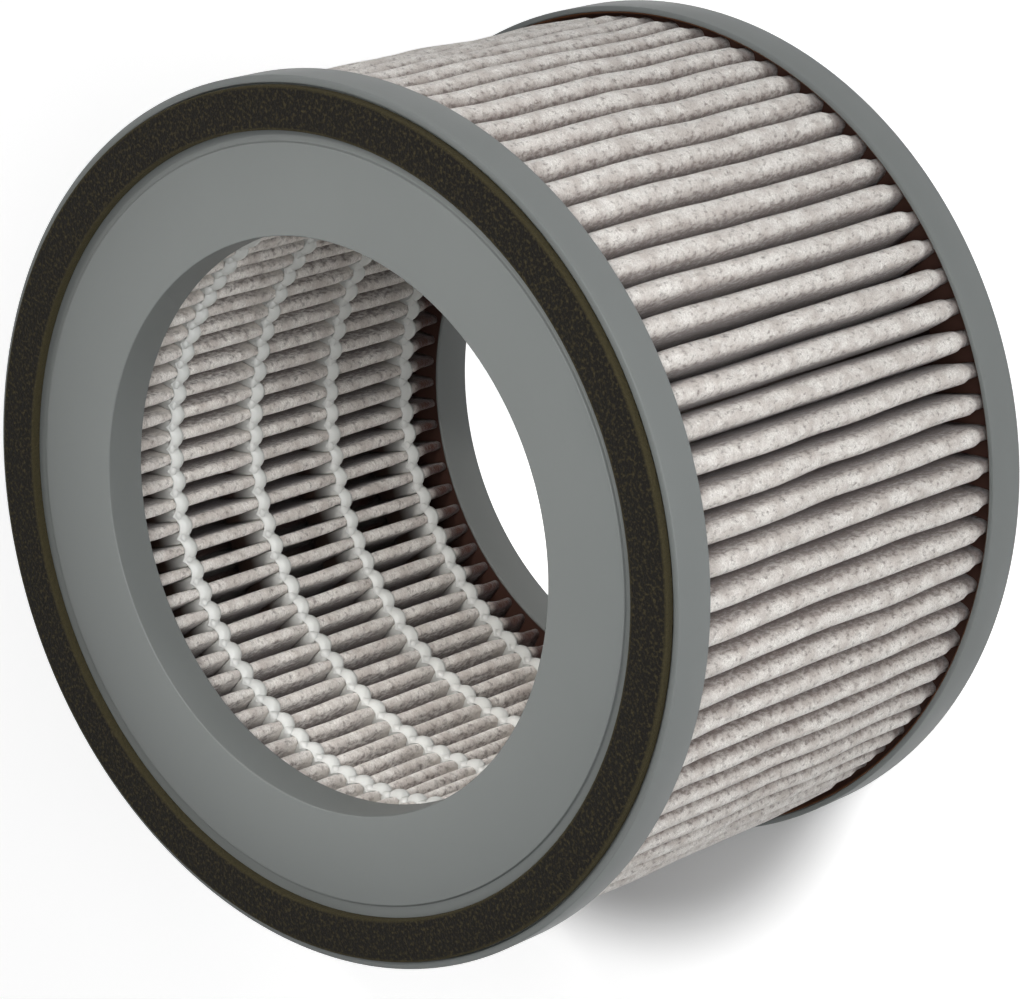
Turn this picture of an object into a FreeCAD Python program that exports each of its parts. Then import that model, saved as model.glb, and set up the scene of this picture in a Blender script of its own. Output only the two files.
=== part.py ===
import FreeCAD, Part
import math
import os

# Cylindrical pleated filter for a small room air purifier.
# Two flat ring caps hold the ends of one pleated sheet, and the air passes
# through the folds into the open middle. All sizes are in millimetres.
# The part stands on its rear cap: +Z runs along the axis, towards the cap
# with the foam gasket, and the origin is the centre of the rear cap's face.

# Overall size
CAP_DIAMETER = 190.0
BORE_DIAMETER = 123.4
FACE_TO_FACE = 118.3

# Caps: a flat ring with an outer skirt and an inner collar that point inwards
CAP_FACE_THICKNESS = 2.0
CAP_WALL = 1.3
SKIRT_HEIGHT = 10.0
COLLAR_HEIGHT = 10.0
CAP_EDGE_CHAMFER = 0.4

# Foam gasket in its shallow groove in the front cap's face
GASKET_THICKNESS = 2.5
GASKET_WIDTH = 9.2
GASKET_PROUD = 1.7
GASKET_RIM = 1.7
GASKET_SIDE_CLEARANCE = 0.3
GROOVE_INNER_MARGIN = 2.6

# Potting adhesive between each cap and the ends of the folds
POTTING_DEPTH = 3.0
POTTING_SIDE_CLEARANCE = 0.1

# Pleated sheet
PLEAT_COUNT = 82
SHEET_THICKNESS = 1.1
OUTER_TIP_CLEARANCE = 0.9
INNER_TIP_CLEARANCE = 2.3
OUTER_FOLD_GAP = 2.0
INNER_FOLD_GAP = 0.3
SEAM_ANGLE = 270.0

# Flats that each bend of the sheet is drawn with. An even number puts a corner
# at the tip of the fold, so that the tip lies at its true radius.
OUTER_FOLD_FLAT_COUNT = 8
OUTER_FOLD_LINING_FLAT_COUNT = 4
INNER_FOLD_FLAT_COUNT = 4
INNER_FOLD_LINING_FLAT_COUNT = 1

# Glue beads that hold the inner folds at their pitch
BEAD_COUNT = 4
BEAD_WIDTH = 3.4
BEAD_THICKNESS = 1.0
BEAD_TIP_GAP = 0.05
BEAD_PITCH = 25.5
FIRST_BEAD_HEIGHT = 17.0

# The seam: the sheet's two ends lie side by side with adhesive between them
SEAM_ADHESIVE_DEPTH = 15.0

# Sizes that follow from the ones above
cap_radius = CAP_DIAMETER / 2
bore_radius = BORE_DIAMETER / 2
skirt_inner_radius = cap_radius - CAP_WALL
collar_outer_radius = bore_radius + CAP_WALL
outer_tip_radius = skirt_inner_radius - OUTER_TIP_CLEARANCE
inner_tip_radius = collar_outer_radius + INNER_TIP_CLEARANCE
groove_outer_radius = cap_radius - GASKET_RIM
gasket_outer_radius = groove_outer_radius - GASKET_SIDE_CLEARANCE
gasket_inner_radius = gasket_outer_radius - GASKET_WIDTH
groove_inner_radius = gasket_inner_radius - GROOVE_INNER_MARGIN
groove_depth = GASKET_THICKNESS - GASKET_PROUD
sheet_bottom = CAP_FACE_THICKNESS + POTTING_DEPTH
sheet_top = FACE_TO_FACE - CAP_FACE_THICKNESS - POTTING_DEPTH

# Fold radii, on the side of the sheet that is outside the bend
half_pitch = math.pi / PLEAT_COUNT
outer_fold_radius = (outer_tip_radius * math.sin(half_pitch) - OUTER_FOLD_GAP / 2) / (
    1 + math.sin(half_pitch)
)
inner_fold_radius = SHEET_THICKNESS + INNER_FOLD_GAP / 2
outer_fold_centre = outer_tip_radius - outer_fold_radius
inner_fold_centre = inner_tip_radius + inner_fold_radius


def polar(radius, angle, z=0.0):
    """A point at a radius and an angle in radians about the axis."""
    return FreeCAD.Vector(radius * math.cos(angle), radius * math.sin(angle), z)


def ring(inner_radius, outer_radius, bottom, height):
    """A flat ring, centred on the axis."""
    base = FreeCAD.Vector(0, 0, bottom)
    outer = Part.makeCylinder(outer_radius, height, base)
    return outer.cut(Part.makeCylinder(inner_radius, height, base))


def cap(with_groove):
    """A cap, face down on z = 0, with its channel for the folds open upwards.

    The section is drawn in the XZ plane and turned about the axis. The edges
    of the face at the rim and at the bore are broken by a small chamfer.
    """
    groove = [
        (groove_inner_radius, 0),
        (groove_inner_radius, groove_depth),
        (groove_outer_radius, groove_depth),
        (groove_outer_radius, 0),
    ]
    outline = [
        (bore_radius + CAP_EDGE_CHAMFER, 0),
        *(groove if with_groove else []),
        (cap_radius - CAP_EDGE_CHAMFER, 0),
        (cap_radius, CAP_EDGE_CHAMFER),
        (cap_radius, SKIRT_HEIGHT),
        (skirt_inner_radius, SKIRT_HEIGHT),
        (skirt_inner_radius, CAP_FACE_THICKNESS),
        (collar_outer_radius, CAP_FACE_THICKNESS),
        (collar_outer_radius, COLLAR_HEIGHT),
        (bore_radius, COLLAR_HEIGHT),
        (bore_radius, CAP_EDGE_CHAMFER),
    ]
    corners = [FreeCAD.Vector(radius, 0, height) for radius, height in outline]
    section = Part.Face(Part.makePolygon(corners + [corners[0]]))
    return section.revolve(FreeCAD.Vector(0, 0, 0), FreeCAD.Vector(0, 0, 1), 360)


def leg_points(outer_radius, inner_radius):
    """The ends of the straight leg between an outer fold and the next inner fold.

    The outer fold is centred on the X axis and the inner fold half a pitch
    further round. The leg touches a circle of outer_radius about the first
    and one of inner_radius about the second, on opposite sides of the line
    that joins the two centres.
    """
    outer = polar(outer_fold_centre, 0)
    inner = polar(inner_fold_centre, half_pitch)
    along = inner - outer
    distance = along.Length
    along.normalize()
    aside = FreeCAD.Vector(along.y, -along.x, 0)
    lean = math.asin((outer_radius + inner_radius) / distance)
    normal = aside * math.cos(lean) + along * math.sin(lean)
    return outer + normal * outer_radius, inner - normal * inner_radius


def turned(point, angle):
    """A point turned about the axis by an angle in radians."""
    cosine = math.cos(angle)
    sine = math.sin(angle)
    return FreeCAD.Vector(
        point.x * cosine - point.y * sine, point.x * sine + point.y * cosine, point.z
    )


def mirrored(point):
    """A point on the other side of the X axis."""
    return FreeCAD.Vector(point.x, -point.y, point.z)


def bend(start, end, centre, flats, clockwise):
    """Points between the two ends of a bend, spaced evenly round its centre."""
    first = start - centre
    last = end - centre
    turn = (math.atan2(last.y, last.x) - math.atan2(first.y, first.x)) % (2 * math.pi)
    if clockwise:
        turn -= 2 * math.pi
    return [centre + turned(first, turn * step / flats) for step in range(1, flats)]


def sheet_side(outer_radius, inner_radius, outer_flats, inner_flats, seam_end):
    """One side of the sheet as a chain of points, once round from seam to seam.

    Each bend is a row of flats about the fold's centre, and seam_end is where
    this side of the sheet stops on the last leg.
    """
    near, far = leg_points(outer_radius, inner_radius)
    fold_start = mirrored(near)
    leg_start = mirrored(far)
    outer_centre = polar(outer_fold_centre, 0)
    inner_centre = polar(inner_fold_centre, half_pitch)
    next_leg_start = turned(leg_start, 2 * half_pitch)
    outer_bend = bend(fold_start, near, outer_centre, outer_flats, clockwise=False)
    inner_bend = bend(far, next_leg_start, inner_centre, inner_flats, clockwise=True)
    one_fold = [fold_start, *outer_bend, near, far, *inner_bend, next_leg_start]
    last_fold = [fold_start, *outer_bend, near, seam_end]
    points = [turned(mirrored(seam_end), half_pitch)]
    for index in range(PLEAT_COUNT):
        angle = (2 * index + 1) * half_pitch
        fold = last_fold if index == PLEAT_COUNT - 1 else one_fold
        points += [turned(point, angle) for point in fold]
    return points


def leg_ends_at_seam():
    """Where the two sides of the last leg stop, level with the inner folds."""
    outside_near, outside_far = leg_points(outer_fold_radius, inner_fold_radius - SHEET_THICKNESS)
    inside_near, inside_far = leg_points(outer_fold_radius - SHEET_THICKNESS, inner_fold_radius)
    along = outside_far - outside_near
    along.normalize()
    return outside_far + along * inner_fold_radius, inside_far + along * inner_fold_radius


def pleated_media():
    """The one folded sheet, closed by a seam, as a section pushed up the axis."""
    outside_end, inside_end = leg_ends_at_seam()
    outside = sheet_side(
        outer_fold_radius,
        inner_fold_radius - SHEET_THICKNESS,
        OUTER_FOLD_FLAT_COUNT,
        INNER_FOLD_LINING_FLAT_COUNT,
        outside_end,
    )
    inside = sheet_side(
        outer_fold_radius - SHEET_THICKNESS,
        inner_fold_radius,
        OUTER_FOLD_LINING_FLAT_COUNT,
        INNER_FOLD_FLAT_COUNT,
        inside_end,
    )
    outline = outside + inside[::-1]
    section = Part.Face(Part.makePolygon(outline + [outline[0]]))
    solid = section.extrude(FreeCAD.Vector(0, 0, sheet_top - sheet_bottom))
    return placed_on_seam(solid, sheet_bottom)


def seam_adhesive():
    """The strip of adhesive between the sheet's two ends."""
    outside_end, inside_end = leg_ends_at_seam()
    near, far = leg_points(outer_fold_radius, inner_fold_radius - SHEET_THICKNESS)
    back = near - outside_end
    back.normalize()
    right = [
        turned(outside_end, -half_pitch),
        turned(outside_end + back * SEAM_ADHESIVE_DEPTH, -half_pitch),
    ]
    left = [mirrored(right[1]), mirrored(right[0])]
    section = Part.Face(Part.makePolygon(right + left + [right[0]]))
    solid = section.extrude(FreeCAD.Vector(0, 0, sheet_top - sheet_bottom))
    return placed_on_seam(solid, sheet_bottom)


def placed_on_seam(solid, bottom):
    """Turns a solid so that the seam lies at its angle, and lifts it."""
    solid.rotate(FreeCAD.Vector(0, 0, 0), FreeCAD.Vector(0, 0, 1), SEAM_ANGLE)
    solid.translate(FreeCAD.Vector(0, 0, bottom))
    return solid


def glue_bead(index):
    """A bead as a flat-sided ring with one side across each inner fold."""
    touching_radius = inner_tip_radius - BEAD_TIP_GAP
    height = FIRST_BEAD_HEIGHT + index * BEAD_PITCH - BEAD_WIDTH / 2

    def prism(radius):
        corners = []
        for side in range(PLEAT_COUNT + 1):
            angle = (2 * side + 1) * half_pitch
            corners.append(polar(radius / math.cos(half_pitch), angle))
        return Part.Face(Part.makePolygon(corners)).extrude(FreeCAD.Vector(0, 0, BEAD_WIDTH))

    solid = prism(touching_radius).cut(prism(touching_radius - BEAD_THICKNESS))
    return placed_on_seam(solid, height)


def front_cap():
    """The cap with the gasket groove, turned over onto the top of the folds."""
    solid = cap(with_groove=True)
    solid.rotate(FreeCAD.Vector(0, 0, 0), FreeCAD.Vector(1, 0, 0), 180)
    solid.translate(FreeCAD.Vector(0, 0, FACE_TO_FACE))
    return solid


def rear_cap():
    """The plain cap that the part stands on."""
    return cap(with_groove=False)


def foam_gasket():
    """The foam ring, which stands proud of the front cap's face."""
    bottom = FACE_TO_FACE - groove_depth
    return ring(gasket_inner_radius, gasket_outer_radius, bottom, GASKET_THICKNESS)


def potting(bottom):
    """A ring of adhesive in a cap's channel, under the ends of the folds."""
    inner = collar_outer_radius + POTTING_SIDE_CLEARANCE
    outer = skirt_inner_radius - POTTING_SIDE_CLEARANCE
    return ring(inner, outer, bottom, POTTING_DEPTH)


parts = {
    "front_cap": front_cap(),
    "rear_cap": rear_cap(),
    "pleated_media": pleated_media(),
    "seam_adhesive": seam_adhesive(),
    "foam_gasket": foam_gasket(),
    "front_potting": potting(sheet_top),
    "rear_potting": potting(CAP_FACE_THICKNESS),
}
for bead in range(BEAD_COUNT):
    parts["glue_bead_%d" % (bead + 1)] = glue_bead(bead)

os.makedirs("parts", exist_ok=True)
for name, shape in parts.items():
    if shape.ShapeType == "Compound" and len(shape.Solids) == 1:
        shape = shape.Solids[0]
    shape.exportStep("parts/%s.step" % name)
    print("%-16s %10.1f mm3, valid %s" % (name, shape.Volume, shape.isValid()))
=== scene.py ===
# %% [markdown]
# # A pleated air filter
# This lesson dresses the CAD model of a round filter for a small room air
# purifier. The CAD nodes come in as a fixed frame, in metres, with the axis
# on Z and the rear cap on the floor. Every piece that shows is then made or
# finished in the place where the CAD has it.

import math

import bmesh
import bpy
from mathutils import Matrix, Vector, noise


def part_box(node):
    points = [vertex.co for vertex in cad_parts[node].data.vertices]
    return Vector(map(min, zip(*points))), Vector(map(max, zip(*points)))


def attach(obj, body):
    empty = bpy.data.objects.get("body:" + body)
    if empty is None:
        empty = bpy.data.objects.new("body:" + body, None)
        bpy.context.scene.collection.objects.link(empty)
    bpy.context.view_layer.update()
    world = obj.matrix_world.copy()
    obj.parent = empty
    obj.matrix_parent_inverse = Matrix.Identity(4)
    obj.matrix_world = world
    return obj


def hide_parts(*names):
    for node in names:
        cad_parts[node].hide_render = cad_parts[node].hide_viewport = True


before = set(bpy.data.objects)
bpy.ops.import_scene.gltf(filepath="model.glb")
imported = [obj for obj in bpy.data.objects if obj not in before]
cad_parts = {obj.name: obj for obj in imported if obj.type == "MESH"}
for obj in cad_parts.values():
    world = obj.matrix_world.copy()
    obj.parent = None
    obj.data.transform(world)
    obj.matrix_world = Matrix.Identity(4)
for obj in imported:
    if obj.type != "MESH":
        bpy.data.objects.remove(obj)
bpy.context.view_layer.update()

# %% [markdown]
# ## The camera
# The photograph was taken from close by with a long lens, and the filter lies
# tilted in it. Here the filter stands upright, so the camera is the one that
# is turned: it looks down at about 47 degrees and is rolled by 108 degrees.
# A turn about Z sets the direction, one about X the height, and the last one,
# about the lens's own axis, the roll.

# %% Place the camera
MM = 0.001
CAMERA_AIM = Vector((-6.694, -0.071, 59.367)) * MM
CAMERA_DISTANCE = 930.98 * MM
CAMERA_AZIMUTH = math.radians(0.606)
CAMERA_ELEVATION = math.radians(47.211)
CAMERA_ROLL = math.radians(-108.365)
LENS_IN_MM = 150.312
SENSOR_WIDTH_IN_MM = 36

camera_data = bpy.data.cameras.new("camera")
camera_data.lens = LENS_IN_MM
camera_data.sensor_width = SENSOR_WIDTH_IN_MM
camera = bpy.data.objects.new("camera", camera_data)
bpy.context.scene.collection.objects.link(camera)
aim_turn = Matrix.Rotation(CAMERA_AZIMUTH, 4, "Z")
tilt = Matrix.Rotation(math.pi / 2 - CAMERA_ELEVATION, 4, "X")
roll = Matrix.Rotation(CAMERA_ROLL, 4, "Z")
stand_back = Matrix.Translation((0, 0, CAMERA_DISTANCE))
camera.matrix_world = Matrix.Translation(CAMERA_AIM) @ aim_turn @ tilt @ stand_back @ roll
bpy.context.scene.camera = camera
print("camera at", [round(v, 4) for v in camera.matrix_world.translation])

# %% [markdown]
# ## Colours and nodes
# Paint and cloth colours are written as they look on a screen, in sRGB, and
# Cycles works in linear light, so one function turns the first into the
# second. A second function adds a node to a material, with its settings, its
# values and its links, so that each material below reads as a short list.
# Four of the materials change with the distance from the filter's axis.

# %% Helpers for colours and nodes
def to_linear(hex_colour):
    """An sRGB hex colour as linear red, green, blue and alpha."""
    channels = [int(hex_colour[place : place + 2], 16) / 255 for place in (1, 3, 5)]
    linear = [c / 12.92 if c <= 0.04045 else ((c + 0.055) / 1.055) ** 2.4 for c in channels]
    return (*linear, 1)


def add_node(material, kind, inputs=None, **settings):
    """Adds a node. An input is given a value, or an output to link from."""
    node = material.node_tree.nodes.new("ShaderNode" + kind)
    for name, value in settings.items():
        setattr(node, name, value)
    for name, value in (inputs or {}).items():
        if isinstance(value, bpy.types.NodeSocket):
            material.node_tree.links.new(value, node.inputs[name])
        else:
            node.inputs[name].default_value = value
    return node


def new_material(name):
    """An empty node material."""
    material = bpy.data.materials.new(name)
    material.use_nodes = True
    material.node_tree.nodes.clear()
    return material


def axis_distance(material, place):
    """How far each point of a material lies from the filter's axis."""
    level = add_node(material, "VectorMath", {0: place, 1: (1, 1, 0)}, operation="MULTIPLY")
    distance = add_node(
        material, "VectorMath", {0: level.outputs["Vector"]}, operation="LENGTH"
    )
    return distance.outputs["Value"]


print("a mid grey of #808080 is", round(to_linear("#808080")[0], 3), "in linear light")

# %% [markdown]
# ## Moulded cap plastic
# The caps are injection moulded in grey ABS. The mould was left with a fine
# satin grain, so light spreads softly on the plastic and no sharp reflection
# shows. The grain is a very fine bump, and the roughness varies a little over
# a few centimetres, as plastic does where it flowed and cooled unevenly.

# %% Satin moulded ABS
GRAIN_WIDTH = 0.35 * MM
FLOW_MARK_WIDTH = 28 * MM

cap_plastic = new_material("satin_moulded_ABS")
place = add_node(cap_plastic, "TexCoord").outputs["Object"]
grain = add_node(
    cap_plastic, "TexNoise", {"Vector": place, "Scale": 1 / GRAIN_WIDTH, "Detail": 2}
)
flow = add_node(
    cap_plastic, "TexNoise", {"Vector": place, "Scale": 1 / FLOW_MARK_WIDTH, "Detail": 3}
)
roughness = add_node(
    cap_plastic,
    "MapRange",
    {
        "Value": flow.outputs["Fac"],
        "From Min": 0.3,
        "From Max": 0.7,
        "To Min": 0.42,
        "To Max": 0.54,
    },
)
tone = add_node(
    cap_plastic,
    "Mix",
    {0: flow.outputs["Fac"], 6: to_linear("#6a6e6d"), 7: to_linear("#727675")},
    data_type="RGBA",
)
bump = add_node(
    cap_plastic,
    "Bump",
    {"Height": grain.outputs["Fac"], "Strength": 0.25, "Distance": 0.03 * MM},
)
shader = add_node(
    cap_plastic,
    "BsdfPrincipled",
    {
        "Base Color": tone.outputs[2],
        "Roughness": roughness.outputs["Result"],
        "Normal": bump.outputs["Normal"],
        "IOR": 1.53,
        "Specular IOR Level": 0.25,
    },
)
add_node(cap_plastic, "OutputMaterial", {"Surface": shader.outputs["BSDF"]})
print(cap_plastic.name, "has", len(cap_plastic.node_tree.nodes), "nodes")

# %% [markdown]
# ## The two caps
# Each cap is a round channel: a flat face 2 mm thick, an outer skirt of
# 1.3 mm, and an inner collar that thins to 0.8 mm at its edge. A turned part
# like this is quickest to make from half of its section, spun once round the
# axis. The corners are rounded afterwards by a bevel, and those small rounds
# catch the light along every edge, as moulded edges do.

# %% Sizes of the caps
front_cap_low, front_cap_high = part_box("front_cap")
CAP_RADIUS = 94.97 * MM
BORE_RADIUS = 61.7 * MM
WALL = 1.3 * MM
COLLAR_EDGE = 0.8 * MM
FACE_THICKNESS = 2 * MM
SKIRT_HEIGHT = 10 * MM
TOP = front_cap_high.z
GROOVE_DEPTH = 0.8 * MM
GROOVE_INNER = 81.2 * MM
GROOVE_OUTER = 93.3 * MM
CAP_ROUND = 0.3 * MM
RING_STEPS = 256
print("front cap from", round(front_cap_low.z, 4), "to", round(TOP, 4))

# %% Spin a section and round its edges
SHARP_ANGLE = math.radians(30)


def spun(name, section, steps, rounding):
    """A closed section of radius and height pairs, spun once round the axis."""
    mesh = bmesh.new()
    corners = [mesh.verts.new((radius, 0, height)) for radius, height in section]
    sides = [mesh.edges.new(pair) for pair in zip(corners, corners[1:] + corners[:1])]
    bmesh.ops.spin(
        mesh,
        geom=corners + sides,
        axis=(0, 0, 1),
        cent=(0, 0, 0),
        angle=2 * math.pi,
        steps=steps,
        use_merge=True,
    )
    bmesh.ops.recalc_face_normals(mesh, faces=mesh.faces)
    if rounding:
        sharp = [edge for edge in mesh.edges if edge.calc_face_angle(0) > SHARP_ANGLE]
        bmesh.ops.bevel(
            mesh,
            geom=sharp,
            offset=rounding,
            offset_type="OFFSET",
            affect="EDGES",
            segments=3,
            profile=0.5,
            material=-1,
        )
    return finished(name, mesh)


def finished(name, mesh):
    """Turns a bmesh into an object with smooth shading, at the origin."""
    data = bpy.data.meshes.new(name)
    mesh.to_mesh(data)
    mesh.free()
    data.shade_smooth()
    piece = bpy.data.objects.new(name, data)
    bpy.context.scene.collection.objects.link(piece)
    print(name, "has", len(data.polygons), "faces")
    return piece


# %% Make the caps
cap_section = [
    (BORE_RADIUS, 0),
    (CAP_RADIUS, 0),
    (CAP_RADIUS, SKIRT_HEIGHT),
    (CAP_RADIUS - WALL, SKIRT_HEIGHT),
    (CAP_RADIUS - WALL, FACE_THICKNESS),
    (BORE_RADIUS + WALL, FACE_THICKNESS),
    (BORE_RADIUS + COLLAR_EDGE, SKIRT_HEIGHT),
    (BORE_RADIUS, SKIRT_HEIGHT),
]
groove_section = [
    (GROOVE_INNER, 0),
    (GROOVE_INNER, GROOVE_DEPTH),
    (GROOVE_OUTER, GROOVE_DEPTH),
    (GROOVE_OUTER, 0),
]
front_section = cap_section[:1] + groove_section + cap_section[1:]
front_section = [(radius, TOP - height) for radius, height in front_section]
rear_ring = spun("rear_cap_ring", cap_section, RING_STEPS, CAP_ROUND)
front_ring = spun("front_cap_ring", front_section, RING_STEPS, CAP_ROUND)
for piece, node in ((rear_ring, "rear_cap"), (front_ring, "front_cap")):
    piece.data.materials.append(cap_plastic)
    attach(piece, "root")
    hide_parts(node)

# %% [markdown]
# ## The pleated sheet
# One long strip of nonwoven is creased into 82 folds and closed to a tube.
# Only half a fold has to be drawn: a round outer bend, a straight leg and a
# tight inner bend. Bends come from spinning a single point, the other half
# from a mirror, and the other 81 folds from a spin that copies. Last, the
# whole wavy line is pushed up the axis, row by row.

# %% Sizes of the folds
FOLD_COUNT = 82
PITCH = 2 * math.pi / FOLD_COUNT
SHEET_THICKNESS = 1.1 * MM
OUTER_TIP = 92.8 * MM
INNER_TIP = 65.3 * MM
OUTER_BEND = 2.46 * MM - SHEET_THICKNESS / 2
INNER_BEND = 1.25 * MM - SHEET_THICKNESS / 2
OUTER_BEND_STEPS = 4
INNER_BEND_STEPS = 3
SEAM_ANGLE = math.radians(270)
SAME_PLACE = 0.01 * MM
sheet_low, sheet_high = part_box("pleated_media")
print("sheet from", round(sheet_low.z, 4), "to", round(sheet_high.z, 4), "high")

# %% [markdown]
# The leg is the straight line that touches both bends, on opposite sides of
# the line between their centres. It leans against that line by the angle
# whose sine is the sum of the two radii over the distance of the centres.

# %% Draw half a fold
outer_centre = Vector((OUTER_TIP - SHEET_THICKNESS / 2 - OUTER_BEND, 0, 0))
inner_centre = Vector((INNER_TIP + SHEET_THICKNESS / 2 + INNER_BEND, 0, 0))
inner_centre.rotate(Matrix.Rotation(PITCH / 2, 3, "Z"))
between = inner_centre - outer_centre
lean = math.asin((OUTER_BEND + INNER_BEND) / between.length)
along = between.normalized()
leg_normal = Vector((along.y, -along.x, 0)) * math.cos(lean) + along * math.sin(lean)
leg_angle = math.atan2(leg_normal.y, leg_normal.x)
sheet = bmesh.new()


def swept(start, centre, angle, steps):
    """Spins one point about a centre and gives back the last point made."""
    made = bmesh.ops.spin(
        sheet, geom=[start], axis=(0, 0, 1), cent=centre, angle=angle, steps=steps
    )
    return next(item for item in made["geom_last"] if isinstance(item, bmesh.types.BMVert))


def stretched(start, end):
    """Extrudes one point to a new place and gives back the new point."""
    point = bmesh.ops.extrude_vert_indiv(sheet, verts=[start])["verts"][0]
    point.co = end
    return point


outer_tip = sheet.verts.new((outer_centre.x + OUTER_BEND, 0, 0))
leg_top = swept(outer_tip, outer_centre, leg_angle, OUTER_BEND_STEPS)
leg_foot = stretched(leg_top, inner_centre - leg_normal * INNER_BEND)
foot_radius = leg_foot.co.length
swept(leg_foot, inner_centre, PITCH / 2 - leg_angle, INNER_BEND_STEPS)
bmesh.ops.mirror(
    sheet, geom=sheet.verts[:] + sheet.edges[:], axis="Y", merge_dist=SAME_PLACE
)
print("one fold has", len(sheet.edges), "edges")
print("its legs lean by", round(math.degrees(lean), 1), "degrees")

# %% Copy the fold round the axis
bmesh.ops.spin(
    sheet,
    geom=sheet.verts[:] + sheet.edges[:],
    axis=(0, 0, 1),
    cent=(0, 0, 0),
    angle=PITCH * (FOLD_COUNT - 1),
    steps=FOLD_COUNT - 1,
    use_duplicate=True,
)
bmesh.ops.remove_doubles(sheet, verts=sheet.verts, dist=SAME_PLACE)
print("the closed line has", len(sheet.verts), "points")

# %% [markdown]
# The strip has two ends, and they meet at one inner fold, which is the seam.
# There the bend is taken out, and the two legs run on straight, side by side,
# with a line of adhesive between them. Each leg also gets a point a quarter of
# the way down from its outer end, where the folds will bulge later on.

# %% Open the line at the seam
SEAM_RUN = 1.25 * MM
SHORTEST_LEG = 10 * MM
BULGE_PLACE = 0.25

seam_turn = Matrix.Rotation(-PITCH / 2, 3, "Z")
seam_centre = seam_turn @ Vector((inner_centre.length, 0, 0))
seam_bend = [
    point
    for point in sheet.verts
    if (point.co - seam_centre).length < 1.1 * INNER_BEND
    and point.co.length < foot_radius - SAME_PLACE
]
bmesh.ops.delete(sheet, geom=seam_bend, context="VERTS")
strip_ends = [point for point in sheet.verts if len(point.link_edges) == 1]
for point in strip_ends:
    inward = (point.co - point.link_edges[0].other_vert(point).co).normalized()
    stretched(point, point.co + inward * SEAM_RUN)
legs = [edge for edge in sheet.edges if edge.calc_length() > SHORTEST_LEG]
cut = bmesh.ops.subdivide_edges(sheet, edges=legs, cuts=1)["geom_inner"]
for point in [item for item in cut if isinstance(item, bmesh.types.BMVert)]:
    ends = [edge.other_vert(point).co for edge in point.link_edges]
    inner_end, outer_end = sorted(ends, key=lambda end: end.length)
    point.co = outer_end.lerp(inner_end, BULGE_PLACE)
print("the strip's ends are", len(strip_ends), "and it has", len(legs), "legs")

# %% [markdown]
# The fleck pattern has to follow the strip, not the space round it. So each
# point keeps how far along the strip it lies. A walk from one end to the
# other adds up the lengths, and that sum is also the strip's real length.

# %% Measure along the strip
along_strip = sheet.verts.layers.float.new("along_strip")
point = next(point for point in sheet.verts if len(point.link_edges) == 1)
came_by, strip_length = None, 0.0
while True:
    point[along_strip] = strip_length
    onward = [edge for edge in point.link_edges if edge != came_by]
    if not onward:
        break
    came_by = onward[0]
    strip_length += came_by.calc_length()
    point = came_by.other_vert(point)
print("the strip is", round(strip_length, 3), "m long")

# %% [markdown]
# The rows lie closest together where the shape changes most: at the rear
# cap's edge, and above and below each glue bead. All heights are in mm here.

# %% Push the line up the axis, row by row
BEAD_HEIGHTS = [17.0, 42.5, 68.0, 93.5]
REAR_ROWS = [5, 9, 10.4, 11.8, 13.5]
ROWS_FROM_BEAD = (-1.7, 1.7, 3.6, 7.5, 12, 16.5, 19.8)
row_heights = REAR_ROWS + [
    bead_height + step for bead_height in BEAD_HEIGHTS for step in ROWS_FROM_BEAD
]
bmesh.ops.translate(sheet, verts=sheet.verts, vec=(0, 0, row_heights[0] * MM))
row = sheet.edges[:]
for low, high in zip(row_heights, row_heights[1:]):
    pushed = bmesh.ops.extrude_edge_only(sheet, edges=row)["geom"]
    points = [item for item in pushed if isinstance(item, bmesh.types.BMVert)]
    edges = [item for item in pushed if isinstance(item, bmesh.types.BMEdge)]
    bmesh.ops.translate(sheet, verts=points, vec=(0, 0, (high - low) * MM))
    row = [
        edge
        for edge in edges
        if all(abs(end.co.z - high * MM) < SAME_PLACE for end in edge.verts)
    ]
print("the sheet has", len(sheet.faces), "faces in", len(row_heights) - 1, "rows")

# %% [markdown]
# A real sheet isn't this even. Its outer folds wander and swell, and their
# legs bulge until they nearly touch the next fold. Where the rear cap grips
# them they shrink to blunt fingertips. The inner ones narrow into each glue
# bead from above. Each point is moved by how far out it lies, how high, and
# on which fold. Smooth noise gives each fold its own measure of all that.

# %% Smooth steps and noise for the folds
NOISE_CELLS_ROUND = 4.5
NOISE_STRENGTH = 1.6
BEAD_HALF_HEIGHT = 1.7 * MM
PINCH_TOP = 5.6 * MM


def eased(value, start, end):
    """0 before start, 1 after end, and a smooth rise between them."""
    share = min(1, max(0, (value - start) / (end - start)))
    return share * share * (3 - 2 * share)


def fold_noise(fold, height, wave, seed):
    """A smooth random value for one fold at one height, about -1 to 1."""
    angle = 2 * math.pi * fold / FOLD_COUNT
    place = Vector((math.cos(angle), math.sin(angle), 0)) * NOISE_CELLS_ROUND
    shift = Vector((seed, seed, seed + height / wave))
    return NOISE_STRENGTH * noise.noise(place + shift)


def into_bead(height):
    """1 where a fold runs into the top of a glue bead, and 0 clear of it."""
    share = 0
    for bead_height in BEAD_HEIGHTS:
        above = height - bead_height * MM
        past_bead = eased(above, BEAD_HALF_HEIGHT, PINCH_TOP)
        share += eased(above, -BEAD_HALF_HEIGHT, 0) * (1 - past_bead)
    return share


# %% [markdown]
# A zone is given by where it starts and where it is full: as a share of the
# way from the inner tips to the outer ones, or as a height. A wave is given
# by its length up the axis and the seed of its noise. Widths are shares of a
# fold's own width, and the rest are distances.

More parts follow.
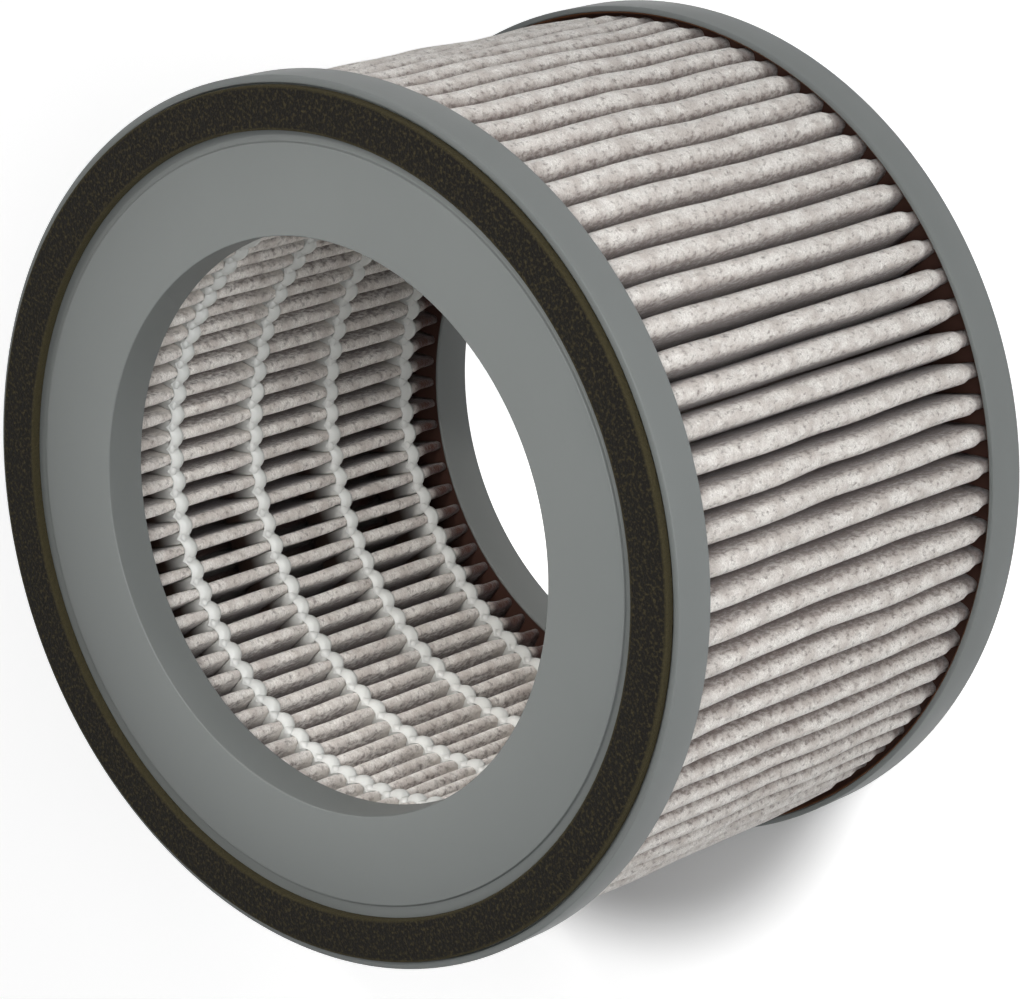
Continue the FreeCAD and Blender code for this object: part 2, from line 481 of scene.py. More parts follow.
# %% How the folds depart from an even sheet
OUTER_ZONE, INNER_ZONE = (0.3, 0.92), (0.05, 0.45)
BULGE_RISE, BULGE_FALL = (0.5, 0.68), (0.74, 0.9)
LOOSE_SIDE = (0.1, 0.6)
REAR_CAP_ZONE, FRONT_CAP_ZONE = (8.5 * MM, 12.5 * MM), (101 * MM, 110 * MM)
INNER_REAR_ZONE = (9.5 * MM, 15 * MM)

OUTER_WIDTH_WAVE, INNER_WIDTH_WAVE = (18 * MM, 3), (12 * MM, 5)
OUTER_WANDER_WAVE, INNER_WANDER_WAVE = (30 * MM, 11), (15 * MM, 17)
SWELL_WAVE = (17 * MM, 23)

UNEVEN, NARROWER, NARROWER_IN_FRONT = 0.08, 0.08, 0.08
WIDER_WHERE_LOOSE = 0.2
REAR_SHRINK, LESS_WHERE_LOOSE = 0.32, 0.1
BULGE, BULGE_WHERE_LOOSE, BULGE_LOST_AT_REAR = 0.33, 0.12, 0.3
INNER_WIDER, INNER_UNEVEN = 0.1, 0.1
PINCH, INNER_REAR_SHRINK = 0.4, 0.3

OUTER_WANDER, INNER_WANDER, SWELL = 0.4 * MM, 0.15 * MM, 0.35 * MM
OUTER_REAR_SINK, INNER_REAR_SINK, PINCH_SINK = 0.8 * MM, 1.2 * MM, 0.5 * MM


# %% Pinch and loosen the folds
def outer_move(angle, radius, height, outward):
    """How far the outer half of a fold moves sideways at one point."""
    fold = round(angle / PITCH)
    aside = (angle - fold * PITCH) * radius
    loose = eased(math.sin(angle), *LOOSE_SIDE)
    rear = 1 - eased(height, *REAR_CAP_ZONE)
    width = UNEVEN * fold_noise(fold, height, *OUTER_WIDTH_WAVE) - NARROWER
    width -= NARROWER_IN_FRONT * eased(height, *FRONT_CAP_ZONE)
    width += WIDER_WHERE_LOOSE * loose - (REAR_SHRINK - LESS_WHERE_LOOSE * loose) * rear
    wander = OUTER_WANDER * fold_noise(fold, height, *OUTER_WANDER_WAVE)
    bulge = eased(outward, *BULGE_RISE) * (1 - eased(outward, *BULGE_FALL))
    bulge *= BULGE + BULGE_WHERE_LOOSE * loose - BULGE_LOST_AT_REAR * rear
    return eased(outward, *OUTER_ZONE) * (aside * width + wander) + aside * bulge


def inner_move(angle, radius, height, outward):
    """How far the inner half of a fold moves sideways at one point."""
    fold = math.floor(angle / PITCH) + 0.5
    aside = (angle - fold * PITCH) * radius
    width = INNER_WIDER + INNER_UNEVEN * fold_noise(fold, height, *INNER_WIDTH_WAVE)
    width -= PINCH * into_bead(height)
    width -= INNER_REAR_SHRINK * (1 - eased(height, *INNER_REAR_ZONE))
    wander = INNER_WANDER * fold_noise(fold, height, *INNER_WANDER_WAVE)
    return (1 - eased(outward, *INNER_ZONE)) * (aside * width + wander)


for point in sheet.verts:
    radius = point.co.to_2d().length
    height = point.co.z
    angle = math.atan2(point.co.y, point.co.x)
    outward = (radius - INNER_TIP) / (OUTER_TIP - INNER_TIP)
    outer = eased(outward, *OUTER_ZONE)
    inner = 1 - eased(outward, *INNER_ZONE)
    move = outer_move(angle, radius, height, outward)
    move += inner_move(angle, radius, height, outward)
    turn = angle + move / radius

    inner_fold = math.floor(angle / PITCH) + 0.5
    radius += outer * SWELL * fold_noise(inner_fold, height, *SWELL_WAVE)
    radius -= outer * OUTER_REAR_SINK * (1 - eased(height, *REAR_CAP_ZONE))
    radius += inner * PINCH_SINK * into_bead(height) ** 2
    radius += inner * INNER_REAR_SINK * (1 - eased(height, *INNER_REAR_ZONE))
    point.co.x = radius * math.cos(turn)
    point.co.y = radius * math.sin(turn)
print("moved", len(sheet.verts), "points")

# %% Lay the pattern's map on the sheet and finish it
pattern_map = sheet.loops.layers.uv.new("strip")
for face in sheet.faces:
    for corner in face.loops:
        corner[pattern_map].uv = (corner.vert[along_strip], corner.vert.co.z)
bmesh.ops.rotate(
    sheet,
    verts=sheet.verts,
    cent=(0, 0, 0),
    matrix=Matrix.Rotation(SEAM_ANGLE + PITCH / 2, 3, "Z"),
)
bmesh.ops.recalc_face_normals(sheet, faces=sheet.faces)
pleats = finished("pleated_sheet", sheet)
thickness = pleats.modifiers.new("thickness", "SOLIDIFY")
thickness.thickness = SHEET_THICKNESS
thickness.offset = 0
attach(pleats, "root")
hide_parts("pleated_media")
strip_width = (row_heights[-1] - row_heights[0]) * MM

# %% [markdown]
# ## The filter cloth
# The sheet is a thick nonwoven: off-white fibres with grains of carbon shut
# in between two layers. The grains show through as soft grey flecks, a
# millimetre or so long, and the fibres leave a fine uneven fuzz. Far down in
# the folds and on their flanks the colour turns a darker mauve-brown, which is
# painted shade. By the rear cap the potting adhesive soaks into the cloth, and
# its brown is also painted there as shade on the ends of the folds.

# %% Where on the fold the cloth lies
filter_cloth = new_material("nonwoven_with_carbon")
cloth_texcoord = add_node(filter_cloth, "TexCoord")
cloth_place = cloth_texcoord.outputs["Object"]
cloth_radius = axis_distance(filter_cloth, cloth_place)
cloth_height = add_node(filter_cloth, "SeparateXYZ", {"Vector": cloth_place}).outputs["Z"]
from_bead = add_node(
    filter_cloth,
    "Math",
    {0: cloth_height, 1: BEAD_HEIGHTS[0] * MM},
    operation="SUBTRACT",
)
above_bead = add_node(
    filter_cloth,
    "Math",
    {0: from_bead.outputs["Value"], 1: (BEAD_HEIGHTS[1] - BEAD_HEIGHTS[0]) * MM},
    operation="FLOORED_MODULO",
).outputs["Value"]

# %% Which way the cloth faces
level_place = add_node(
    filter_cloth, "VectorMath", {0: cloth_place, 1: (1, 1, 0)}, operation="MULTIPLY"
)
outward_unit = add_node(
    filter_cloth, "VectorMath", {0: level_place.outputs["Vector"]}, operation="NORMALIZE"
)
facing_out = add_node(
    filter_cloth,
    "VectorMath",
    {0: cloth_texcoord.outputs["Normal"], 1: outward_unit.outputs["Vector"]},
    operation="DOT_PRODUCT",
).outputs["Value"]
# Where the cloth turns away from facing out is a fold's flank, which gets painted shade
# below.
crown = add_node(filter_cloth, "Math", {0: facing_out}, operation="ABSOLUTE")
cloth_zone = {
    "flank": add_node(
        filter_cloth,
        "MapRange",
        {"Value": crown.outputs["Value"], "From Min": 0.92, "From Max": 0.3},
    ).outputs["Result"],
    "facing in": add_node(
        filter_cloth,
        "MapRange",
        {"Value": facing_out, "From Min": 0.2, "From Max": -0.2},
    ).outputs["Result"],
}

# %% [markdown]
# Each zone of the cloth has a share from 0 to 1. The first table says at
# which radius or height in mm a zone has nothing, where it is full, and how
# full. The second table joins two zones into a third: where both are is
# their product, and where either is their maximum.

# %% Zones by radius and height, and what they make together
for zone, place, start, end, full in (
    # The zones below the tips and far out mark where shade is painted far down in the
    # folds.
    ("below outer tips", cloth_radius, 92.2, 83, 1),
    ("below inner tips", cloth_radius, 66, 78, 1),
    ("far out", cloth_radius, 72, 84, 1),
    ("outer side", cloth_radius, 68, 84, 0.36),
    ("near bore", cloth_radius, 74, 68, 1),
    ("behind tips", cloth_radius, 65.7, 67, 1),
    # Painted shade at half strength on the ends of the folds at the rear cap.
    ("fold end shade", cloth_height, 12, 9.5, 0.5),
    ("by rear cap", cloth_height, 15.1, 12, 1),
    ("above bead", above_bead, 7, 1.5, 0.9),
):
    cloth_zone[zone] = add_node(
        filter_cloth,
        "MapRange",
        {"Value": place, "From Min": start * MM, "From Max": end * MM, "To Max": full},
    ).outputs["Result"]

for zone, operation, first, second in (
    ("between tips", "MULTIPLY", "below outer tips", "below inner tips"),
    ("slot floor", "MULTIPLY", "facing in", "far out"),
    # Painted shade far down in the folds: between the tips, and where slot sides face the
    # bore.
    ("painted deep shade", "MAXIMUM", "between tips", "slot floor"),
    ("in reach", "MAXIMUM", "painted deep shade", "near bore"),
    # The adhesive's stain by the rear cap, which also paints shade far down in the folds
    # and on the fold ends.
    ("soak and shade place", "MAXIMUM", "in reach", "fold end shade"),
    ("soaked and shaded", "MULTIPLY", "by rear cap", "soak and shade place"),
    ("in slot", "MULTIPLY", "behind tips", "near bore"),
    ("glued", "MULTIPLY", "above bead", "in slot"),
    # Painted shade on the flanks of the outer folds.
    ("painted flank shade", "MULTIPLY", "flank", "outer side"),
):
    cloth_zone[zone] = add_node(
        filter_cloth,
        "Math",
        {0: cloth_zone[first], 1: cloth_zone[second]},
        operation=operation,
    ).outputs["Value"]
print("the cloth has", len(cloth_zone), "zones")

# %% Flecks, fibres and clumps
FLECK_WIDTH = 0.9 * MM
FIBRE_WIDTH = 0.4 * MM
CLUMP_WIDTH = 3 * MM

strip_place = add_node(filter_cloth, "UVMap", uv_map="strip").outputs["UV"]
stretched_place = add_node(
    filter_cloth, "Mapping", {"Vector": strip_place, "Scale": (1, 0.5, 1)}
).outputs["Vector"]
flecks = add_node(
    filter_cloth,
    "TexNoise",
    {"Vector": stretched_place, "Scale": 1 / FLECK_WIDTH, "Detail": 4, "Roughness": 0.65},
).outputs["Fac"]
fibres = add_node(
    filter_cloth,
    "TexNoise",
    {"Vector": strip_place, "Scale": 1 / FIBRE_WIDTH, "Detail": 3, "Distortion": 1.5},
).outputs["Fac"]
clumps = add_node(
    filter_cloth,
    "TexNoise",
    {"Vector": stretched_place, "Scale": 1 / CLUMP_WIDTH, "Detail": 3, "Roughness": 0.6},
).outputs["Fac"]
# More flecks far down in the folds and on the flanks: painted shade carried by the fleck
# pattern.
flecks_with_deep_shade = add_node(
    filter_cloth,
    "Math",
    {0: cloth_zone["painted deep shade"], 1: 0.4, 2: flecks},
    operation="MULTIPLY_ADD",
)
flecks_with_painted_shade = add_node(
    filter_cloth,
    "Math",
    {0: cloth_zone["flank"], 1: 0.07, 2: flecks_with_deep_shade.outputs["Value"]},
    operation="MULTIPLY_ADD",
).outputs["Value"]

# %% [markdown]
# The colours lie over one another like layers of glaze. It starts with the
# off-white of the fibres, and each layer covers what is below it by its own
# share: first the pattern of the cloth, then the zones. The flank zone and the
# zone far down in the folds are painted shade, and the adhesive's stain by the
# rear cap also paints shade on the fold ends.

# %% Colours of the cloth
pattern = {}
for name, value, start, end, full in (
    ("clumps", clumps, 0.4, 0.62, 1),
    ("fibres", fibres, 0.35, 0.65, 0.6),
    ("flecks", flecks_with_painted_shade, 0.54, 0.72, 0.8),
):
    pattern[name] = add_node(
        filter_cloth,
        "MapRange",
        {"Value": value, "From Min": start, "From Max": end, "To Max": full},
    ).outputs["Result"]

cloth_colour = to_linear("#f6f3ee")
for share, colour in (
    (pattern["clumps"], "#d3ccc6"),
    (pattern["fibres"], "#afa7a1"),
    (pattern["flecks"], "#6a605b"),
    # painted shade on the flanks of the outer folds
    (cloth_zone["painted flank shade"], "#857670"),
    # painted shade far down in the folds
    (cloth_zone["painted deep shade"], "#66504a"),
    (cloth_zone["glued"], "#dad4cc"),
    # the adhesive's stain, also painted shade on the fold ends
    (cloth_zone["soaked and shaded"], "#57352a"),
):
    cloth_colour = add_node(
        filter_cloth,
        "Mix",
        {0: share, 6: cloth_colour, 7: to_linear(colour)},
        data_type="RGBA",
    ).outputs[2]

# %% Fuzz and shader of the cloth
lumps = add_node(
    filter_cloth, "Bump", {"Height": clumps, "Strength": 0.8, "Distance": 1.2 * MM}
)
fuzz = add_node(
    filter_cloth,
    "Bump",
    {
        "Height": fibres,
        "Strength": 0.8,
        "Distance": 0.2 * MM,
        "Normal": lumps.outputs["Normal"],
    },
)
cloth_shader = add_node(
    filter_cloth,
    "BsdfPrincipled",
    {
        "Base Color": cloth_colour,
        "Roughness": 0.9,
        "Normal": fuzz.outputs["Normal"],
        "Specular IOR Level": 0.2,
        "Sheen Weight": 0.3,
        "Sheen Roughness": 0.5,
    },
)
add_node(filter_cloth, "OutputMaterial", {"Surface": cloth_shader.outputs["BSDF"]})
pleats.data.materials.append(filter_cloth)
print(filter_cloth.name, "has", len(filter_cloth.node_tree.nodes), "nodes")

# %% [markdown]
# ## Glue beads
# A nozzle lays four lines of white hot-melt round the inside. The glue sags
# over each fold tip as a small round lobe and runs a few millimetres into the
# gaps, where it sets as thin webs. Its white is painted darker with the depth
# of a web, as painted shade where less light gets there.

# %% Hot-melt adhesive
RIPPLE_WIDTH = 1.5 * MM
GLOW_DEPTH = 1.5 * MM

hot_melt = new_material("white_hot_melt")
melt_place = add_node(hot_melt, "TexCoord").outputs["Object"]
# Painted shade: the glue turns darker with its distance from the axis.
web_depth_shade = add_node(
    hot_melt,
    "MapRange",
    {
        "Value": axis_distance(hot_melt, melt_place),
        "From Min": 66.2 * MM,
        "From Max": 74 * MM,
    },
)
melt_colour = add_node(
    hot_melt,
    "Mix",
    {0: web_depth_shade.outputs["Result"], 6: to_linear("#cdcfcc"), 7: to_linear("#46372f")},
    data_type="RGBA",
)
ripple = add_node(hot_melt, "TexNoise", {"Vector": melt_place, "Scale": 1 / RIPPLE_WIDTH})
melt_bump = add_node(
    hot_melt,
    "Bump",
    {"Height": ripple.outputs["Fac"], "Strength": 0.3, "Distance": 0.2 * MM},
)
melt_shader = add_node(
    hot_melt,
    "BsdfPrincipled",
    {
        "Base Color": melt_colour.outputs[2],
        "Roughness": 0.38,
        "Normal": melt_bump.outputs["Normal"],
        "Subsurface Weight": 0.3,
        "Subsurface Radius": (GLOW_DEPTH, GLOW_DEPTH, GLOW_DEPTH),
        "Subsurface Scale": 1.0,
    },
)
add_node(hot_melt, "OutputMaterial", {"Surface": melt_shader.outputs["BSDF"]})
print(hot_melt.name, "has", len(hot_melt.node_tree.nodes), "nodes")

# %% [markdown]
# A ring with an oval section is the start of a bead. Its points are then
# pulled in and out once for each fold: over a fold tip the lobe stands proud
# and hangs low, and between two folds it dips into the gap. Noise makes some
# lobes fuller than others.

# %% Sizes of the beads
BEAD_WIDTH = 3.2 * MM
BEAD_DEPTH = 0.9 * MM
BEAD_MIDDLE = INNER_TIP - 0.1 * MM
BEAD_TOP = 1.9 * MM
DIP = 1.0 * MM
LEAN_BACK = 0.7 * MM
SAG = 0.25 * MM
SAG_SPREAD = 0.7
LOBE_SHARPNESS = 0.7
MELT_WAVE = 9 * MM
OVAL_POINTS = 12
STEPS_PER_FOLD = 8


# %% A lobed ring of glue
def fullness(least, on_lobe, by_noise, lobe, loose):
    """How full the bead is: its least, and more on a lobe and by the noise."""
    return least + on_lobe * lobe + by_noise * loose


def lobed_ring(height, seed):
    """A ring of glue at one height, with a round lobe on each fold tip."""
    ring = bmesh.new()
    bmesh.ops.create_circle(ring, segments=OVAL_POINTS, radius=1)
    flat_section = Matrix.Diagonal((BEAD_DEPTH, BEAD_WIDTH / 2, 1, 1))
    upright = Matrix.Rotation(math.pi / 2, 4, "X")
    to_tips = Matrix.Translation((BEAD_MIDDLE, 0, height))
    bmesh.ops.transform(ring, matrix=to_tips @ upright @ flat_section, verts=ring.verts)
    bmesh.ops.spin(
        ring,
        geom=ring.verts[:] + ring.edges[:],
        axis=(0, 0, 1),
        cent=(0, 0, 0),
        angle=2 * math.pi,
        steps=FOLD_COUNT * STEPS_PER_FOLD,
        use_merge=True,
    )
    for point in ring.verts:
        angle = math.atan2(point.co.y, point.co.x)
        fold = (angle - SEAM_ANGLE) / PITCH
        lobe = abs(math.cos(math.pi * fold)) ** LOBE_SHARPNESS
        loose = fold_noise(fold, height, MELT_WAVE, seed)
        rise = (point.co.z - height) / (BEAD_WIDTH / 2)
        inside = (BEAD_MIDDLE - point.co.to_2d().length) / BEAD_DEPTH
        inside *= fullness(0.5, 0.3, 0.1, lobe, loose)
        radius = BEAD_MIDDLE + DIP * (1 - lobe)
        if rise > 0:
            radius += LEAN_BACK * rise**2 - BEAD_DEPTH * inside * (1 - rise)
            rise *= 2 * BEAD_TOP / BEAD_WIDTH * fullness(1.2, -0.4, 0, lobe, loose)
        else:
            radius -= BEAD_DEPTH * inside
            rise *= fullness(0.5, 0.62, 0.08, lobe, loose)
        sag = SAG * fold_noise(fold * SAG_SPREAD, height, MELT_WAVE, seed + 9)
        level = height + rise * BEAD_WIDTH / 2 + sag
        point.co = (radius * math.cos(angle), radius * math.sin(angle), level)
    return ring


# %% The webs between the folds
WEB_DEPTH = 14 * MM
WEB_WIDTH = 2.9 * MM
WEB_SHIFT = 0.2 * MM
WEB_ROUND = 0.2


def glue_webs(height):
    """The webs of one bead, which are half as high at their far ends."""
    webs = bmesh.new()
    bmesh.ops.create_cube(webs, size=1)
    bmesh.ops.bevel(
        webs,
        geom=webs.edges[:],
        offset=WEB_ROUND,
        affect="EDGES",
        segments=2,
        profile=0.5,
        material=-1,
    )
    for point in webs.verts:
        point.co.z = point.co.z * (0.75 - 0.5 * point.co.x) - 0.1 * point.co.x
    slab = Matrix.Diagonal((WEB_DEPTH, WEB_WIDTH, BEAD_WIDTH, 1))
    web_middle = (INNER_TIP + WEB_DEPTH / 2 + WEB_SHIFT, 0, height + WEB_SHIFT)
    outwards = Matrix.Translation(web_middle)
    first = Matrix.Rotation(SEAM_ANGLE + PITCH / 2, 4, "Z")
    bmesh.ops.transform(webs, matrix=first @ outwards @ slab, verts=webs.verts)
    bmesh.ops.spin(
        webs,
        geom=webs.verts[:] + webs.edges[:] + webs.faces[:],
        axis=(0, 0, 1),
        cent=(0, 0, 0),
        angle=PITCH * (FOLD_COUNT - 1),
        steps=FOLD_COUNT - 1,
        use_duplicate=True,
    )
    web_data = bpy.data.meshes.new("webs")
    webs.to_mesh(web_data)
    webs.free()
    return web_data


# %% Make the four beads
for count, bead_height in enumerate(BEAD_HEIGHTS, start=1):
    ring = lobed_ring(bead_height * MM, 31 * count)
    web_data = glue_webs(bead_height * MM)
    ring.from_mesh(web_data)
    bpy.data.meshes.remove(web_data)
    bmesh.ops.recalc_face_normals(ring, faces=ring.faces)
    glue = finished(f"glue_line_{count}", ring)
    glue.data.materials.append(hot_melt)
    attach(glue, "root")
    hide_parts(f"glue_bead_{count}")

# %% [markdown]
# ## Potting
# The ends of the folds stand in a bed of poured polyurethane inside each cap.
# Where it is thick it looks dark brown. It creeps up the walls to just under
# their edges, and there it is thin enough for light to pass, which gives the
# skirt a fine glossy amber line.

# %% Potting adhesive
potting_adhesive = new_material("amber_polyurethane")
potting_place = add_node(potting_adhesive, "TexCoord").outputs["Object"]
thin_edge = add_node(
    potting_adhesive,
    "MapRange",
    {
        "Value": axis_distance(potting_adhesive, potting_place),
        "From Min": 92.7 * MM,
        "From Max": 93.3 * MM,
    },
)
potting_colour = add_node(
    potting_adhesive,
    "Mix",
    {0: thin_edge.outputs["Result"], 6: to_linear("#4a342d"), 7: to_linear("#5c3a22")},
    data_type="RGBA",
)
potting_shader = add_node(
    potting_adhesive,
    "BsdfPrincipled",
    {
        "Base Color": potting_colour.outputs[2],
        "Roughness": 0.35,
        "IOR": 1.5,
        "Specular IOR Level": 0.3,
    },
)
add_node(potting_adhesive, "OutputMaterial", {"Surface": potting_shader.outputs["BSDF"]})
print(potting_adhesive.name, "has", len(potting_adhesive.node_tree.nodes), "nodes")

# %% Potting beds
POTTING_INNER = 62.9 * MM
POTTING_OUTER = 93.6 * MM
POTTING_LEVEL = 6 * MM
CREEP = 3.6 * MM

# The creep is a steep curve at the skirt and a gentler one at the collar
bed_section = [
    (POTTING_INNER, FACE_THICKNESS),
    (POTTING_OUTER, FACE_THICKNESS),
    (POTTING_OUTER, POTTING_LEVEL + CREEP),
    (POTTING_OUTER - 0.3 * MM, POTTING_LEVEL + 3.4 * MM),
    (POTTING_OUTER - 0.8 * MM, POTTING_LEVEL + 0.8 * MM),
    (POTTING_OUTER - 2 * MM, POTTING_LEVEL),
    (POTTING_INNER + 3 * MM, POTTING_LEVEL),
    (POTTING_INNER + 0.6 * MM, POTTING_LEVEL + 1.8 * MM),
    (POTTING_INNER - 0.2 * MM, POTTING_LEVEL + CREEP),
]
front_bed_section = [(radius, TOP - height) for radius, height in bed_section]
for name, section, node in (
    ("rear_potting_bed", bed_section, "rear_potting"),
    ("front_potting_bed", front_bed_section, "front_potting"),
):
    bed = spun(name, section, RING_STEPS, 0)
    bed.data.materials.append(potting_adhesive)
    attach(bed, "root")
    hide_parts(node)

# %% [markdown]
# The seam's adhesive is a wedge between the strip's two ends. It is narrow
# at the inside, where the ends lie closest, and wider further out.

# %% Strip of glue in the seam
SEAM_DEPTH = 15 * MM
SEAM_WIDTH = 1 * MM
strip_middle = (row_heights[0] + row_heights[-1]) / 2 * MM

seam = bmesh.new()
bmesh.ops.create_cube(seam, size=1)
for point in seam.verts:
    point.co.y *= 0.8 + 0.8 * point.co.x
seam_size = Matrix.Diagonal((SEAM_DEPTH, SEAM_WIDTH, strip_width, 1))
seam_place = Matrix.Translation((foot_radius + SEAM_DEPTH / 2, 0, strip_middle))
bmesh.ops.transform(seam, matrix=seam_place @ seam_size, verts=seam.verts)
bmesh.ops.rotate(
    seam, verts=seam.verts, cent=(0, 0, 0), matrix=Matrix.Rotation(SEAM_ANGLE, 3, "Z")
)
seam_strip = finished("seam_strip", seam)
seam_strip.data.materials.append(hot_melt)
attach(seam_strip, "root")
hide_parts("seam_adhesive")

# %% [markdown]
# ## Foam gasket
# The seal is a ring cut from open-cell foam, dark brown-black with small
# pores. Cut foam has no sharp edges: the cells at the cut stand up as fuzz
# and catch the light, and that light is painted in as a paler colour along
# both edges of the strip. The ring is spun like the caps, and the cells and
# pores are left to the material.

# %% Sizes of the gasket
foam_low, foam_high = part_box("foam_gasket")
FOAM_INNER = 83.8 * MM
FOAM_OUTER = 93.0 * MM
FOAM_MIDDLE = (FOAM_INNER + FOAM_OUTER) / 2
FOAM_ROUND = 0.35 * MM
FOAM_STEPS = 480
CELL_WIDTH = 0.55 * MM
PORE_WIDTH = 0.8 * MM
print("foam from", round(foam_low.z, 4), "to", round(foam_high.z, 4))

# %% Open-cell foam
foam = new_material("open_cell_foam")
foam_place = add_node(foam, "TexCoord").outputs["Object"]
cells = add_node(foam, "TexVoronoi", {"Vector": foam_place, "Scale": 1 / CELL_WIDTH})
pores = add_node(
    foam, "TexNoise", {"Vector": foam_place, "Scale": 1 / PORE_WIDTH, "Detail": 4}
)
pore_mask = add_node(
    foam,
    "MapRange",
    {"Value": pores.outputs["Fac"], "From Min": 0.5, "From Max": 0.75},
)
cell_colour = add_node(
    foam,
    "Mix",
    {0: pore_mask.outputs["Result"], 6: to_linear("#13110d"), 7: to_linear("#3e3825")},
    data_type="RGBA",
)
off_middle = add_node(
    foam,
    "Math",
    {0: axis_distance(foam, foam_place), 1: FOAM_MIDDLE},
    operation="SUBTRACT",
).outputs["Value"]
middle_distance = add_node(foam, "Math", {0: off_middle}, operation="ABSOLUTE")
edge_fuzz_highlight = add_node(
    # Painted highlight along both cut edges of the strip.
    foam,
    "MapRange",
    {"Value": middle_distance.outputs["Value"], "From Min": 3.9 * MM, "From Max": 4.6 * MM},
)
foam_colour = add_node(
    foam,
    "Mix",
    {0: edge_fuzz_highlight.outputs["Result"], 6: cell_colour.outputs[2], 7: to_linear("#3b3624")},
    data_type="RGBA",
)
foam_bump = add_node(
    foam,
    "Bump",
    {"Height": cells.outputs["Distance"], "Strength": 0.9, "Distance": 0.3 * MM},
)
foam_shader = add_node(
    foam,
    "BsdfPrincipled",
    {
        "Base Color": foam_colour.outputs[2],
        "Roughness": 0.95,
        "Specular IOR Level": 0.2,
        "Normal": foam_bump.outputs["Normal"],
    },
)
add_node(foam, "OutputMaterial", {"Surface": foam_shader.outputs["BSDF"]})
print(foam.name, "has", len(foam.node_tree.nodes), "nodes")

# %% Foam ring
foam_foot = foam_low.z + 0.05 * MM
foam_top = foam_high.z - 0.1 * MM
foam_section = [
    (FOAM_INNER, foam_foot),
    (FOAM_OUTER, foam_foot),
    (FOAM_OUTER, foam_top),
    (FOAM_INNER, foam_top),
]
gasket = spun("foam_ring", foam_section, FOAM_STEPS, FOAM_ROUND)
gasket.data.materials.append(foam)
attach(gasket, "root")
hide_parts("foam_gasket")

# %% [markdown]
# ## Floor and light
# The filter stands on a plain white floor, which shines a little by itself,
# so that it is white without more light on the filter. Only rays from the
# camera, from a gloss or through glass meet that shine, as Light Path tells.
# It is full inside the bore, as painted light over the filter's shade there.
# Round a spot on the side where the shadow falls it fades out, which paints a
# shadow there and keeps the real one from washing out.

# %% Rays that see a surface directly
def seen_directly(material):
    """1 for rays from the camera, from a gloss or through glass, and else 0."""
    rays = add_node(material, "LightPath").outputs
    mirrored = add_node(
        material,
        "Math",
        {0: rays["Is Glossy Ray"], 1: rays["Is Transmission Ray"]},
        operation="ADD",
    )
    seen = add_node(
        material,
        "Math",
        {0: rays["Is Camera Ray"], 1: mirrored.outputs["Value"]},
        operation="ADD",
    )
    seen.use_clamp = True
    return seen.outputs["Value"]


# %% Floor
SHADOW_MIDDLE = (-45 * MM, 40 * MM, 0)
SHADOW_CORE = 61 * MM
SHADOW_EDGE = 84 * MM
FLOOR_GLOW = 0.66
FLOOR_DROP = 0.2 * MM

floor_paint = new_material("white_studio_paint")
floor_place = add_node(floor_paint, "TexCoord").outputs["Object"]
from_axis = add_node(floor_paint, "VectorMath", {0: floor_place}, operation="LENGTH")
# Painted light: through the bore the floor shines in full, over the filter's shade.
painted_light_in_bore = add_node(
    floor_paint,
    "MapRange",
    {"Value": from_axis.outputs["Value"], "From Min": 66 * MM, "From Max": 62 * MM},
)
# Painted shadow: the glow drops away round a spot on the shadow side.
from_shadow = add_node(
    floor_paint, "VectorMath", {0: floor_place, 1: SHADOW_MIDDLE}, operation="DISTANCE"
)
glow_round_painted_shadow = add_node(
    floor_paint,
    "MapRange",
    {
        "Value": from_shadow.outputs["Value"],
        "From Min": SHADOW_CORE,
        "From Max": SHADOW_EDGE,
        "To Max": FLOOR_GLOW,
    },
    interpolation_type="SMOOTHSTEP",
)
glow_level = add_node(
    floor_paint,
    "Math",
    {0: painted_light_in_bore.outputs["Result"], 1: glow_round_painted_shadow.outputs["Result"]},
    operation="MAXIMUM",
)
glow_strength = add_node(
    floor_paint,
    "Math",
    {0: seen_directly(floor_paint), 1: glow_level.outputs["Value"]},
    operation="MULTIPLY",
)
paint = add_node(floor_paint, "BsdfDiffuse", {"Color": to_linear("#e6e6e6")})
glow = add_node(
    floor_paint,
    "Emission",
    {"Color": (1, 1, 1, 1), "Strength": glow_strength.outputs["Value"]},
)
both = add_node(
    floor_paint, "AddShader", {0: paint.outputs["BSDF"], 1: glow.outputs["Emission"]}
)
add_node(floor_paint, "OutputMaterial", {"Surface": both.outputs["Shader"]})

ground_mesh = bmesh.new()
bmesh.ops.create_grid(ground_mesh, x_segments=1, y_segments=1, size=3)
bmesh.ops.translate(ground_mesh, verts=ground_mesh.verts, vec=(0, 0, -FLOOR_DROP))
floor = finished("studio_floor", ground_mesh)
floor.data.materials.append(floor_paint)

# %% [markdown]
# The light is soft. The strongest lamp is half a metre wide and shines from
# the side of the folds, at 41 degrees. Four weaker ones above, behind and at
# the sides fill the shadows. Two warm spots with narrow cones shine through
# the bore onto its far wall, where no wide lamp reaches. The world is white
# in the camera's view and nearly dark as a source of light.

# %% Soft lamps
LAMP_SIZE = 0.5
LAMP_AIM = Vector((0, 0, 60 * MM))


def turned_to(lamp, aim):
    """Points a lamp at a place and puts it into the scene."""
    lamp.rotation_euler = (aim - lamp.location).to_track_quat("-Z", "Y").to_euler()
    bpy.context.scene.collection.objects.link(lamp)
    print(lamp.name, "is at", [round(v, 2) for v in lamp.location])


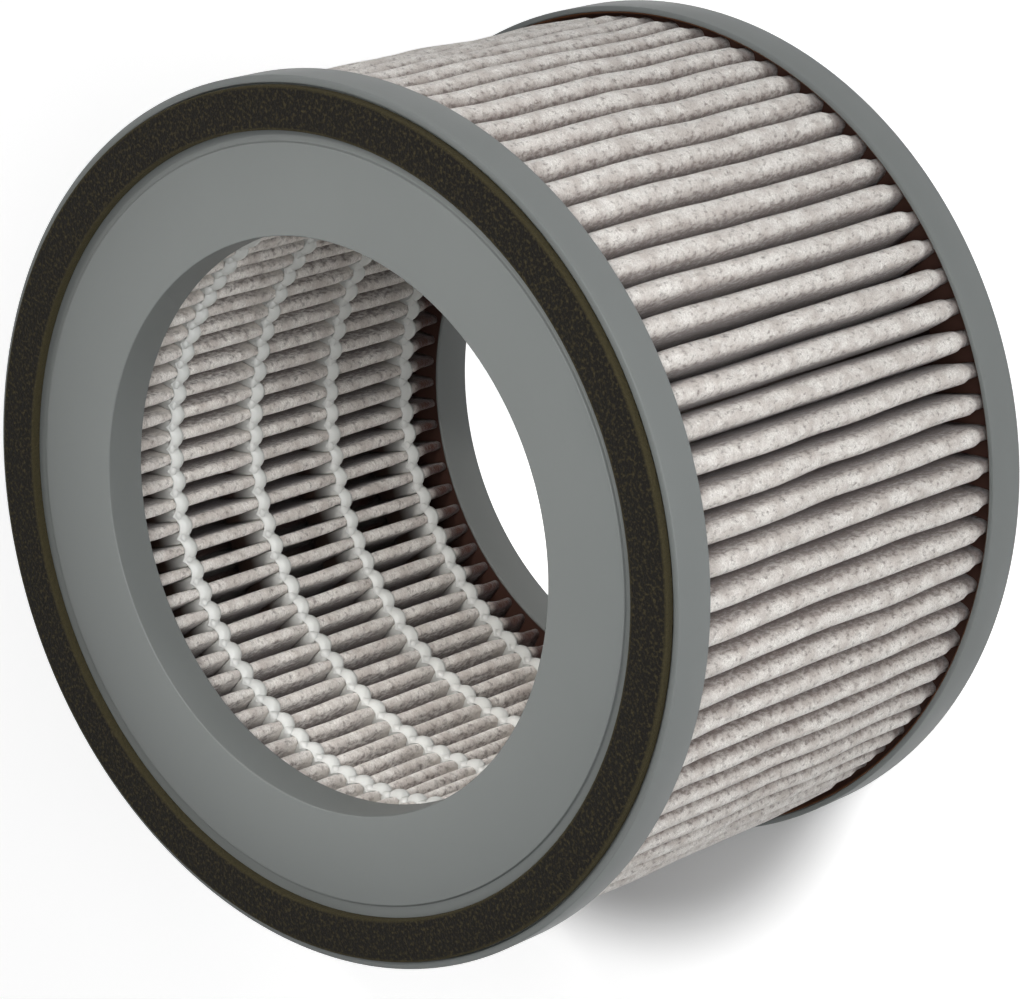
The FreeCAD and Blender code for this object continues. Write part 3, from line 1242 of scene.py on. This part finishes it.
def soft_lamp(name, azimuth, elevation, distance, power):
    """A half-metre square lamp that points at the middle of the filter."""
    data = bpy.data.lights.new(name, "AREA")
    data.size = LAMP_SIZE
    data.energy = power
    lamp = bpy.data.objects.new(name, data)
    away = Vector((distance, 0, 0))
    away.rotate(Matrix.Rotation(math.radians(-elevation), 3, "Y"))
    away.rotate(Matrix.Rotation(math.radians(azimuth), 3, "Z"))
    lamp.location = LAMP_AIM + away
    turned_to(lamp, LAMP_AIM)


soft_lamp("front_lamp", -90, 41, 0.72, 4.2)
soft_lamp("high_lamp", -60, 70, 1.1, 0.5)
soft_lamp("side_lamp", 0, 35, 1.1, 2.1)
soft_lamp("back_lamp", 90, 45, 1.1, 0.5)
soft_lamp("low_lamp", -150, 25, 1.1, 1.6)

# %% Spots into the bore
SPOT_AIM = Vector((0, 0, 110 * MM))
SPOT_ANGLE = math.radians(7.6)
SPOT_BLEND = 0.4
SPOT_RADIUS = 60 * MM
WARM_WHITE = (1, 0.955, 0.92)


def bore_spot(name, location, power):
    """A small warm spot that shines through the bore onto its far wall."""
    data = bpy.data.lights.new(name, "SPOT")
    data.energy = power
    data.color = WARM_WHITE
    data.spot_size = SPOT_ANGLE
    data.spot_blend = SPOT_BLEND
    data.shadow_soft_size = SPOT_RADIUS
    spot = bpy.data.objects.new(name, data)
    spot.location = location
    turned_to(spot, SPOT_AIM)


bore_spot("left_bore_spot", (0.35, -0.45, 0.85), 20)
bore_spot("low_bore_spot", (0.5, 0.1, 0.85), 32)

# %% World
world = bpy.data.worlds.new("studio")
world.use_nodes = True
world.node_tree.nodes.clear()
bpy.context.scene.world = world
sky_strength = add_node(
    world,
    "MapRange",
    {"Value": seen_directly(world), "To Min": 0.04, "To Max": 1.0},
)
sky = add_node(
    world, "Background", {"Color": (1, 1, 1, 1), "Strength": sky_strength.outputs["Result"]}
)
add_node(world, "OutputWorld", {"Surface": sky.outputs["Background"]})
bpy.context.scene.view_settings.view_transform = "Standard"
print("the world has", len(world.node_tree.nodes), "nodes")
